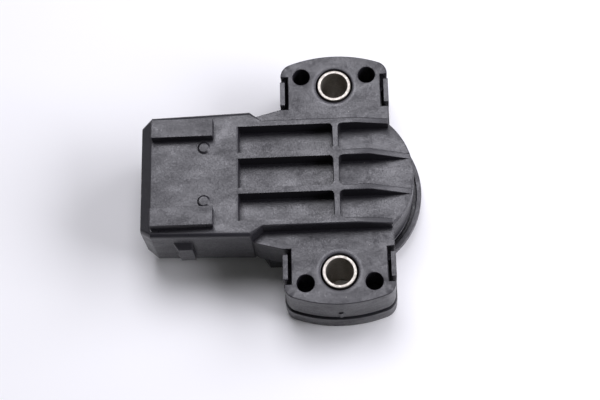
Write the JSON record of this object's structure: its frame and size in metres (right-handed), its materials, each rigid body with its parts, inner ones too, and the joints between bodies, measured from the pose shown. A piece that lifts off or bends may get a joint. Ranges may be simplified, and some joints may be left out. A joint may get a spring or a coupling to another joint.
{
  "type": "throttle position sensor",
  "caption": "Rotary throttle position sensor: flat ribbed plastic body with bushed mounting ears, a plug socket on one side and a turning drive hub in the mounting face.",
  "frame": {"origin": "on the rotor's axis, in the plane of the mounting face, midway between the fixing bushes", "axes": "+Z away from the throttle body towards the ribbed face, +X from the plug socket to the round end, +Y towards the upper ear"},
  "size_m": [0.0533, 0.0514, 0.0191],
  "materials": {
    "housing_plastic": "moulded, fine grain",
    "base_plastic": "moulded, fine grain",
    "seal_rubber": "matt",
    "bush_steel": "zinc plated",
    "terminal_tin": "tin plated",
    "element_ceramic": "fired ceramic",
    "rotor_plastic": "moulded",
    "wiper_bronze": "bright",
    "washer_steel": "plain"
  },
  "bodies": {
    "body": {"housing": "housing_plastic", "base_cover": "base_plastic", "joint_seal": "seal_rubber", "mounting_seal": "seal_rubber", "upper_bush": "bush_steel", "lower_bush": "bush_steel", "ground_terminal": "terminal_tin", "signal_terminal": "terminal_tin", "supply_terminal": "terminal_tin", "resistor_element": "element_ceramic", "thrust_washer": "washer_steel"},
    "drive": {"rotor": "rotor_plastic", "wiper": "wiper_bronze"}
  },
  "joints": [
    {"name": "rotor_turn", "type": "hinge", "parent": "body", "child": "drive", "pos_m": [0, 0, 0], "axis": [0, 0, 1], "range_deg": [0, 95]}
  ]
}
